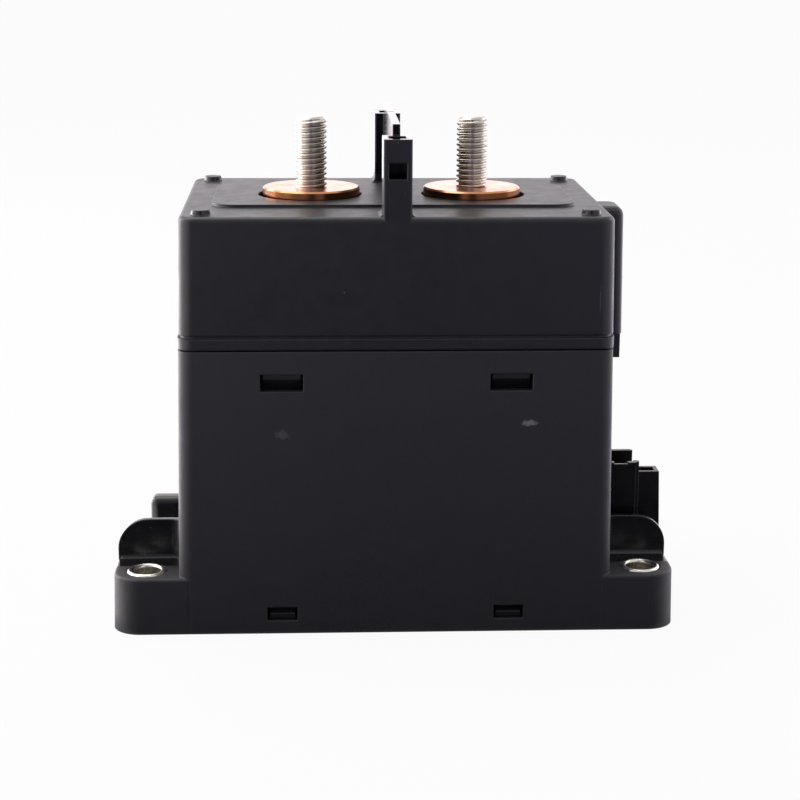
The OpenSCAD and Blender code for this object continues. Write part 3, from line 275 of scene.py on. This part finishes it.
def moulded_plastic(name, base, worn, rough, grain, depth, edge, marks=(), polished_and_shaded=(), level=0.45):
    """Moulded thermoplastic. Its bump is a noise of the tool's pits, drawn as wide as they need to show,
    on edges rounded by a radius. A wide cloud varies the tone and the gloss as melt flow does, and
    smears of handling vary the gloss again. In a polished zone the pits fade and the gloss is the zone's
    own, and a tone below 1 darkens the colour, a painted shade. The largest share of edge wear, rub marks
    and dust mixes in the worn colour."""
    flow_size, smear_size = 14 * mm, 2.5 * mm
    flow_tone, gloss_swing = 0.72, 0.03
    made, tree, surface, own = finish_tree(name)
    soft = add(tree, "Bevel", {"Radius": edge}, samples=8).outputs[0]
    pits = add(tree, "TexNoise", {"Vector": own, "Scale": 1 / grain, "Detail": 2.0, "Roughness": 0.6})
    pits = pits.outputs[0]
    cloud = add(tree, "TexNoise", {"Vector": own, "Scale": 1 / flow_size, "Detail": 3.0}).outputs[0]
    # A Mix node blends two numbers at its inputs 2 and 3, or two colours at 6 and 7, by the share at 0.
    dark = shaded(base, flow_tone)
    colour = add(tree, "Mix", {0: cloud, 6: linear(base), 7: dark}, data_type="RGBA").outputs[2]
    gloss = add(tree, "MapRange", {"Value": cloud, "From Min": 0.3, "From Max": 0.7,
                                   "To Min": rough - gloss_swing, "To Max": rough + gloss_swing}).outputs[0]
    away = add(tree, "VectorMath", {0: own}, operation="ABSOLUTE").outputs[0]
    away = add(tree, "SeparateXYZ", {0: away}).outputs
    smooth = 0.0
    for part in polished_and_shaded:
        zone = polished_zone(tree, away, part["limits"])
        # A tone below 1 is painted shade: it darkens the zone's colour.
        tone = shaded(base, part["tone"])
        colour = add(tree, "Mix", {0: zone, 6: colour, 7: tone}, data_type="RGBA").outputs[2]
        gloss = add(tree, "Mix", {0: zone, 2: gloss, 3: part["rough"]}).outputs[0]
        pits = add(tree, "MapRange", {"Value": zone, "To Min": pits, "To Max": 0.5}).outputs[0]
        smooth = add(tree, "Math", {0: smooth, 1: zone}, operation="MAXIMUM").outputs[0]
    smear = add(tree, "TexNoise", {"Vector": own, "Scale": 1 / smear_size, "Detail": 5.0}).outputs[0]
    smear = add(tree, "MapRange", {"Value": smear, "From Min": 0.35, "From Max": 0.65,
                                   "To Min": -gloss_swing, "To Max": gloss_swing}).outputs[0]
    gloss = add(tree, "Math", {0: gloss, 1: smear}, operation="ADD").outputs[0]
    paler = worn_edges(tree, soft, cloud)
    for mark in marks:
        rub = rub_mark(tree, own, **mark)
        paler = add(tree, "Math", {0: paler, 1: rub}, operation="MAXIMUM").outputs[0]
    dust = dust_specks(tree, own, smooth)
    paler = add(tree, "Math", {0: paler, 1: dust}, operation="MAXIMUM").outputs[0]
    colour = add(tree, "Mix", {0: paler, 6: colour, 7: linear(worn)}, data_type="RGBA").outputs[2]
    bump = add(tree, "Bump", {"Height": pits, "Distance": depth, "Strength": 1.0, "Normal": soft}).outputs[0]
    feed(tree, surface, {"Base Color": colour, "Roughness": gloss, "Normal": bump,
                         "IOR": 1.5, "Specular IOR Level": level})
    return made


def dress(material, *names):
    """Gives CAD nodes this finish."""
    for name in names:
        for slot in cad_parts[name].material_slots:
            slot.material = material


# The pits scatter the light, so that the walls look dull black with a soft sheen. Real pits, about
# 0.05 mm wide, are too fine to show, so they are drawn 0.36 mm wide. The webs and the block on the left
# came from a polished part of the tool and look glossier; their colour is darkened to 0.3 of the walls',
# a painted shade. Something has rubbed the front in two places.
housing_plastic = moulded_plastic(
    "spark_grained_black_polyester", base="#1f1e23", worn="#77747a", rough=0.56,
    grain=0.36 * mm, depth=0.028 * mm, edge=0.40 * mm,
    polished_and_shaded=[{"rough": 0.25, "tone": 0.3, "limits": {"X": (40.9, 41.1), "Y": (20.2, 19.8)}}],
    marks=[{"at": (24.57, -27.85, 40.70), "wide": 2.4, "high": 1.1, "share": 0.85},
           {"at": (-20.88, -27.85, 38.72), "wide": 2.2, "high": 1.6, "share": 0.2}])
dress(housing_plastic, "lower_housing")

# Bottom plate
# A second black moulding that closes the housing from below. Its hooks snap into the four lower
# windows, and its rails carry the magnet system.

# A smoother tool leaves shallow pits, and the plate looks glossier and blacker than the walls.
plate_plastic = moulded_plastic(
    "smooth_black_polyester", base="#121115", worn="#6a686c", rough=0.36,
    grain=0.22 * mm, depth=0.006 * mm, edge=0.25 * mm)
dress(plate_plastic, "bottom_plate")


# Bushings
# Rolled steel sleeves with bright nickel plate, moulded into the ears, so that the fixing bolts
# don't crush the plastic. Their lips stand a little proud of the ears.
def metal(name, colour, dull, rough, grain, depth, coarse=6 * mm):
    """Metal with a bump of fine grain. A cloud of the coarse size mixes in the duller tone and varies the
    gloss. The real grain, some hundredths of a millimetre, is too fine to show and is drawn coarser."""
    made, tree, surface, own = finish_tree(name)
    cloud = add(tree, "TexNoise", {"Vector": own, "Scale": 1 / coarse, "Detail": 4.0}).outputs[0]
    fine = add(tree, "TexNoise", {"Vector": own, "Scale": 1 / grain, "Detail": 2.0}).outputs[0]
    share = add(tree, "MapRange", {"Value": cloud, "From Min": 0.35, "From Max": 0.75}).outputs[0]
    tone = add(tree, "Mix", {0: share, 6: linear(colour), 7: linear(dull)}, data_type="RGBA").outputs[2]
    gloss = add(tree, "MapRange", {"Value": cloud, "From Min": 0.3, "From Max": 0.7,
                                   "To Min": 0.8 * rough, "To Max": 1.25 * rough}).outputs[0]
    bump = add(tree, "Bump", {"Height": fine, "Distance": depth, "Strength": 1.0}).outputs[0]
    feed(tree, surface, {"Base Color": tone, "Roughness": gloss, "Normal": bump, "Metallic": 1.0})
    return made


# Nickel is a bright metal with a warm tinge, and blurs what it mirrors a little.
bright_nickel = metal(
    "bright_nickel_plate", "#dedad2", "#bfbab0", rough=0.24, grain=0.25 * mm, depth=0.002 * mm)
dress(bright_nickel, "bushing_front_left", "bushing_front_right", "bushing_rear_right")

# Connector
# A black polyester moulding with a spigot through the housing's right wall. Its shroud opens
# upwards for the plug; the pocket outside takes the plug's latch. Four tinned brass pins stand in it.

# A polished tool gives it a smooth skin: deep black, with small bright highlights on its edges.
connector_plastic = moulded_plastic(
    "smooth_black_connector_polyester", base="#0b0a0d", worn="#58565b", rough=0.30,
    grain=0.22 * mm, depth=0.005 * mm, edge=0.20 * mm, level=0.3)
dress(connector_plastic, "connector_body")

# Tin is pale and soft in its shine, and yellower where the brass shows through.
tinned_brass = metal(
    "tinned_brass", "#cfc8b8", "#b09a6c", rough=0.24, grain=0.15 * mm, depth=0.002 * mm, coarse=2 * mm)
dress(tinned_brass, "connector_pins", "coil_pins")

# Control board
# Glass-fibre laminate under green solder resist, upright behind the right wall. The connector's
# pins and the coil's pins are soldered into it.

# Resist is a glossy green lacquer, in which the threads of the glass cloth show faintly. A wave texture
# of scale 1 has a crest every pi / 10 units.
wave_unit = math.pi / 10
thread_spacing = 0.5 * mm
board_resist, tree, surface, own = finish_tree("green_solder_resist")
weave = add(tree, "TexWave", {"Vector": own, "Scale": wave_unit / thread_spacing, "Distortion": 0.6},
            bands_direction="Z").outputs[0]
cloud = add(tree, "TexNoise", {"Vector": own, "Scale": 1 / (5 * mm), "Detail": 3.0}).outputs[0]
green = add(tree, "Mix", {0: cloud, 6: linear("#1f5c38"), 7: linear("#2c7448")}, data_type="RGBA")
bump = add(tree, "Bump", {"Height": weave, "Distance": 0.01 * mm})
feed(tree, surface, {"Base Color": green.outputs[2], "Normal": bump.outputs[0], "Roughness": 0.3})
dress(board_resist, "control_board")

# Magnet system
# A zinc-plated steel frame and its top plate carry the flux of the coil round the fixed core and
# the plunger. It rests on a rubber pad, which takes up tolerance and damps the stroke.

# Zinc is a bluish grey, duller than nickel.
zinc_plate = metal(
    "zinc_plated_steel", "#b9babd", "#9a9ca1", rough=0.36, grain=0.3 * mm, depth=0.004 * mm)
dress(zinc_plate, "yoke_frame", "yoke_top_plate", "magnet_yoke", "fixed_core", "plunger")

# Rubber is a dull black with a grey bloom in clouds. Its fine tooth is drawn 0.25 mm wide, to show.
pad_rubber, tree, surface, own = finish_tree("moulded_black_rubber")
bloom = add(tree, "TexNoise", {"Vector": own, "Scale": 1 / (7 * mm), "Detail": 5.0}).outputs[0]
tooth = add(tree, "TexNoise", {"Vector": own, "Scale": 1 / (0.25 * mm), "Detail": 2.0}).outputs[0]
black = add(tree, "Mix", {0: bloom, 6: linear("#161517"), 7: linear("#2a292b")}, data_type="RGBA")
bump = add(tree, "Bump", {"Height": tooth, "Distance": 0.02 * mm})
feed(tree, surface, {"Base Color": black.outputs[2], "Normal": bump.outputs[0], "Roughness": 0.8})
dress(pad_rubber, "yoke_pad")

# Coil
# A natural polyester bobbin carries many layers of enamelled copper wire, half a millimetre thick,
# between its two flanges. The outer layer's turns lie side by side.

# Without pigment the polyester is cream, with a waxy sheen.
natural_plastic = moulded_plastic(
    "natural_polyester", base="#d9d2bf", worn="#efeade", rough=0.45,
    grain=0.25 * mm, depth=0.005 * mm, edge=0.25 * mm)
dress(natural_plastic, "coil_bobbin")


def skin(name, points, ring=False):
    """Mesh of a grid of points, rows along the piece and columns round it. Quads join neighbours, and the
    last column joins the first. In a ring the last row joins the first; otherwise a fan about its
    middle closes each end."""
    rows, columns = points.shape[:2]
    index = np.arange(rows * columns).reshape(rows, columns)
    beside = np.roll(index, -1, axis=1)
    if ring:
        low, high = index, np.roll(index, -1, axis=0)
    else:
        low, high = index[:-1], index[1:]
    quads = np.stack([low, np.roll(low, -1, axis=1), np.roll(high, -1, axis=1), high], axis=-1)
    corners, faces = points.reshape(-1, 3), quads.reshape(-1, 4).tolist()
    if not ring:
        middles = np.stack([points[0].mean(axis=0), points[-1].mean(axis=0)])
        corners = np.concatenate([corners, middles])
        foot, top = np.full(columns, rows * columns), np.full(columns, rows * columns + 1)
        faces += np.stack([beside[0], index[0], foot], axis=-1).tolist()
        faces += np.stack([index[-1], beside[-1], top], axis=-1).tolist()
    mesh = bpy.data.meshes.new(name)
    mesh.from_pydata(corners.tolist(), [], faces)
    mesh.polygons.foreach_set("use_smooth", np.arange(len(faces)) < quads.size // 4)
    made = bpy.data.objects.new(name, mesh)
    scene.collection.objects.link(made)
    return made


def wound(inner, outer, low, high, wire):
    """Grid of a winding about the Z axis, a closed section turned round it. The section's outside is a row
    of half circles, one for each turn of the outer layer."""
    rows_per_turn, columns = 8, 96
    turns = int((high - low) / wire)
    step = (high - low) / turns
    turn = np.linspace(0, turns, rows_per_turn * turns + 1)
    bulge = step / 2 * np.sqrt(np.clip(1 - (2 * (turn % 1) - 1) ** 2, 0, 1))
    outside = np.stack([outer - step / 2 + bulge, low + step * turn], axis=-1)
    section = np.concatenate([[[inner, low]], outside, [[inner, high]]])
    around = np.linspace(0, 2 * np.pi, columns, endpoint=False)
    radius, height = section[:, :1], section[:, 1:]
    return np.stack([radius * np.cos(around), radius * np.sin(around),
                     np.broadcast_to(height, (len(section), columns))], axis=-1)


# Enamel deepens the copper to a glossy red brown.
enamelled_wire = metal(
    "enamelled_copper_wire", "#b0602f", "#8a4420", rough=0.3, grain=0.2 * mm, depth=0.002 * mm)
winding_inner = 9.4 * mm
wire_thickness = 0.5 * mm
lowest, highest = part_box("coil_winding")
winding = skin("wound_coil", wound(winding_inner, highest.x, lowest.z, highest.z, wire_thickness), ring=True)
winding.data.materials.append(enamelled_wire)
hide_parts("coil_winding")
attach(winding, "housing")

# Plunger, shaft and springs
# Inside a drawn steel sleeve the plunger lifts the shaft against the return spring. The contact
# spring on the shaft presses the bridge against the terminals at the end of the stroke.

# Drawing leaves a smooth grey metal with a blurred shine.
drawn_stainless = metal(
    "drawn_stainless_steel", "#b3afa8", "#9d988f", rough=0.26, grain=0.2 * mm, depth=0.003 * mm)
dress(drawn_stainless, "plunger_sleeve", "shaft", "spring_seat", "shaft_clip")


def coiled(radius, wire, turns, low, high):
    """Grid of a round wire along a helix whose first and last turns lie close. Rows go along the wire and
    columns round it: each point lies half the wire's thickness off the helix, by the cosine in the
    radial direction and by the sine in the one across it."""
    rows_per_turn, columns = 40, 14
    turn = np.linspace(0, turns, rows_per_turn * turns + 1)
    close = 1.06 * wire
    middle = (high - low - wire - 2 * close) / (turns - 2)
    rise = np.interp(turn, [0, 1, turns - 1, turns], np.cumsum([0, close, middle * (turns - 2), close]))
    angle = 2 * np.pi * turn
    line = np.stack([radius * np.cos(angle), radius * np.sin(angle), low + wire / 2 + rise], axis=-1)
    out = np.stack([np.cos(angle), np.sin(angle), np.zeros_like(angle)], axis=-1)
    along = np.gradient(line, axis=0)
    along /= np.linalg.norm(along, axis=1, keepdims=True)
    across = np.cross(along, out)
    around = np.linspace(0, 2 * np.pi, columns, endpoint=False)[None, :, None]
    return line[:, None] + wire / 2 * (np.cos(around) * out[:, None] + np.sin(around) * across[:, None])


# Spring wire is a darker grey, with fine streaks of shine along each turn.
spring_steel = metal(
    "stainless_spring_wire", "#aaa59d", "#8c867d", rough=0.3, grain=0.15 * mm, depth=0.002 * mm,
    coarse=3 * mm)
# Each spring's wire, turns, body and joint, its fixed end (0 is the lower one, 1 the upper one), and the
# share of its length that is left at the joint's limit.
for name, wire, turns, body, joint, fixed, keep in (
    ("return_spring", 0.8 * mm, 8, "housing", "plunger_slide", 1, 0.834),
    ("contact_spring", 1.0 * mm, 4, "armature", "bridge_slide", 0, 0.882),
):
    lowest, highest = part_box(name)
    spring = skin(name + "_wire", coiled(highest.x - wire / 2, wire, turns, lowest.z, highest.z))
    spring.data.materials.append(spring_steel)
    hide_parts(name)
    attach(spring, body)
    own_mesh(spring)

# Contact chamber
# A fired alumina cap, brazed to the terminals through nickel-iron rings and to the top plate through
# a thin skirt, seals the arc. Two sintered magnets and their steel ring blow the arc outwards.

# Alumina is a chalky warm white. Its grit, some hundredths of a millimetre, is drawn 0.3 mm wide, to show.
alumina, tree, surface, own = finish_tree("fired_alumina")
grit = add(tree, "TexNoise", {"Vector": own, "Scale": 1 / (0.3 * mm), "Detail": 3.0}).outputs[0]
cloud = add(tree, "TexNoise", {"Vector": own, "Scale": 1 / (8 * mm), "Detail": 3.0}).outputs[0]
cream = add(tree, "Mix", {0: cloud, 6: linear("#e6e0d2"), 7: linear("#f1ece2")}, data_type="RGBA")
bump = add(tree, "Bump", {"Height": grit, "Distance": 0.01 * mm})
feed(tree, surface, {"Base Color": cream.outputs[2], "Normal": bump.outputs[0], "Roughness": 0.5})
dress(alumina, "ceramic_chamber")
dress(bright_nickel, "chamber_skirt", "braze_ring_left", "braze_ring_right")

# Sintered magnets are a dark, granular grey.
sintered = metal("sintered_magnet", "#55545a", "#3e3d43", rough=0.5, grain=0.15 * mm, depth=0.01 * mm)
dress(sintered, "magnet_front", "magnet_rear")


# Terminals and bridge
# Turned copper: each terminal's disc shows in the cover, and its pillar ends in a contact inside the
# chamber. The bridge between them is stamped and then faced. Handling has tarnished the discs a little.
def turned_copper(name, x):
    """Turned copper about an upright line at x. The tool's feed leaves rings 0.2 mm apart, drawn at twice
    that so that they show, and a cloud gives a darker tarnish. Faces that look up are painted paler than
    the sides, a painted sheen, and are less sharp in their shine."""
    made, tree, surface, own = finish_tree(name)
    ring_spacing, tarnish_size = 0.4 * mm, 4 * mm
    centred = add(tree, "Mapping", {"Vector": own, "Location": (-x, 0, 0)}).outputs[0]
    rings = add(tree, "TexWave", {"Vector": centred, "Scale": wave_unit / ring_spacing, "Distortion": 0.4},
                wave_type="RINGS", rings_direction="Z").outputs[0]
    cloud = add(tree, "TexNoise", {"Vector": own, "Scale": 1 / tarnish_size, "Detail": 5.0}).outputs[0]
    stain = add(tree, "MapRange", {"Value": cloud, "From Min": 0.5, "From Max": 0.75, "To Max": 0.6})
    # Painted sheen: faces that look up take a paler copper, with the tarnish mixed in.
    top = add(tree, "Mix", {0: stain.outputs[0], 6: linear("#d99f7b"), 7: linear("#a86c49")},
              data_type="RGBA").outputs[2]
    face = add(tree, "SeparateXYZ", {0: add(tree, "NewGeometry").outputs["True Normal"]}).outputs["Z"]
    flat = add(tree, "MapRange", {"Value": face, "From Min": 0.5, "From Max": 0.95}).outputs[0]
    tone = add(tree, "Mix", {0: flat, 6: linear("#b4744c"), 7: top}, data_type="RGBA").outputs[2]
    least = add(tree, "MapRange", {"Value": flat, "To Min": 0.10, "To Max": 0.17}).outputs[0]
    most = add(tree, "MapRange", {"Value": flat, "To Min": 0.24, "To Max": 0.36}).outputs[0]
    gloss = add(tree, "MapRange", {"Value": cloud, "To Min": least, "To Max": most}).outputs[0]
    bump = add(tree, "Bump", {"Height": rings, "Distance": 0.0015 * mm}).outputs[0]
    feed(tree, surface, {"Base Color": tone, "Roughness": gloss, "Normal": bump, "Metallic": 1.0})
    return made


# Copper is a pinkish orange, deep brown where a rim mirrors the dark. It is bright on the discs' tops,
# where a paler copper is painted on as a painted sheen.
terminal_x = 15.45 * mm
dress(turned_copper("turned_copper_left", -terminal_x), "terminal_left")
dress(turned_copper("turned_copper_right", terminal_x), "terminal_right")
dress(turned_copper("stamped_copper", 0), "contact_bridge")

# Studs
# Stainless M6 studs, fixed in the terminals by their roots. Their coarse threads, one millimetre in
# pitch, are rolled, so that the flanks are smooth and a fifth of the pitch is flat at the crest.
crest_r = 3.0 * mm
thread_pitch = 1.0 * mm
thread_depth = 0.48 * mm
crest_share = 0.2
chamfer = 0.8 * mm
root_r = 2.35 * mm


def threaded(low, foot, top, x):
    """Grid of a stud about an upright line at x. Above the foot the radius is the crest's less the
    thread's depth times a wave of height over pitch minus the share of a turn, flat at the crest and
    eased at both ends. At the top a cone of 45 degrees cuts the thread off."""
    rows_per_turn, columns = 20, 72
    around = np.linspace(0, 2 * np.pi, columns, endpoint=False)
    rows = rows_per_turn * round((top - foot) / thread_pitch) + 1
    height = np.linspace(foot, top, rows)[:, None]
    wave = np.abs(2 * (((height - foot) / thread_pitch - around / (2 * np.pi)) % 1) - 1)
    groove = np.clip((wave - crest_share) / (1 - crest_share), 0, 1)
    groove = groove * groove * (3 - 2 * groove)
    cone = crest_r - np.clip(height - (top - chamfer), 0, None)
    shank = np.minimum(crest_r - thread_depth * groove, cone)
    radius = np.concatenate([np.full((2, columns), root_r), shank])
    height = np.concatenate([[[low], [foot]], height])
    return np.stack([x + radius * np.cos(around), radius * np.sin(around),
                     np.broadcast_to(height, radius.shape)], axis=-1)


# Rolled flanks are smooth, and each gives a thin bright streak.
rolled_stainless = metal(
    "rolled_stainless_steel", "#c3bdb4", "#a39c91", rough=0.29, grain=0.2 * mm, depth=0.001 * mm,
    coarse=3 * mm)
disc_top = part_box("terminal_left")[1].z
for side, x in (("left", -terminal_x), ("right", terminal_x)):
    lowest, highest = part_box("stud_" + side)
    stud = skin("threaded_stud_" + side, threaded(lowest.z, disc_top, highest.z, x))
    stud.data.materials.append(rolled_stainless)
    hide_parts("stud_" + side)
    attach(stud, "housing")

# Upper cover
# The same black polyester as the housing, snapped down over the chamber. Its raised panel lets the
# discs through, and a barrier between two hollow posts keeps the terminals' lugs apart.

# Its grain is shallower than the housing's, and drawn coarser than it is too, 0.30 mm wide. Its base
# colour is darker than the housing's, a painted shade on the same plastic. The zones are its top, the
# barrier and posts, the buttons' sides and the buttons' tops: smoother, so that they mirror what stands
# round them. The barrier and posts are darkened to half their tone and the buttons' sides to 0.3, a
# painted shade. A thin scratch stands at the right of its front.
button_corners = {"X": (34.3, 34.5), "Y": (21.2, 21.4)}
cover_plastic = moulded_plastic(
    "spark_grained_black_polyester_cover", base="#111014", worn="#77747a", rough=0.46,
    grain=0.30 * mm, depth=0.009 * mm, edge=0.40 * mm,
    polished_and_shaded=[{"rough": 0.41, "tone": 1.0, "limits": {"Z": (77.0, 78.7)}},
              {"rough": 0.16, "tone": 0.5, "limits": {"Z": (80.0, 81.0), "Y": (27.6, 27.2)}},
              {"rough": 0.16, "tone": 0.3, "limits": {"Z": (78.83, 78.93), **button_corners}},
              {"rough": 0.41, "tone": 1.0, "limits": {"Z": (79.50, 79.62), **button_corners}}],
    marks=[{"at": (36.92, -27.85, 63.74), "wide": 0.14, "high": 4.2, "share": 0.3}])
dress(cover_plastic, "upper_cover")
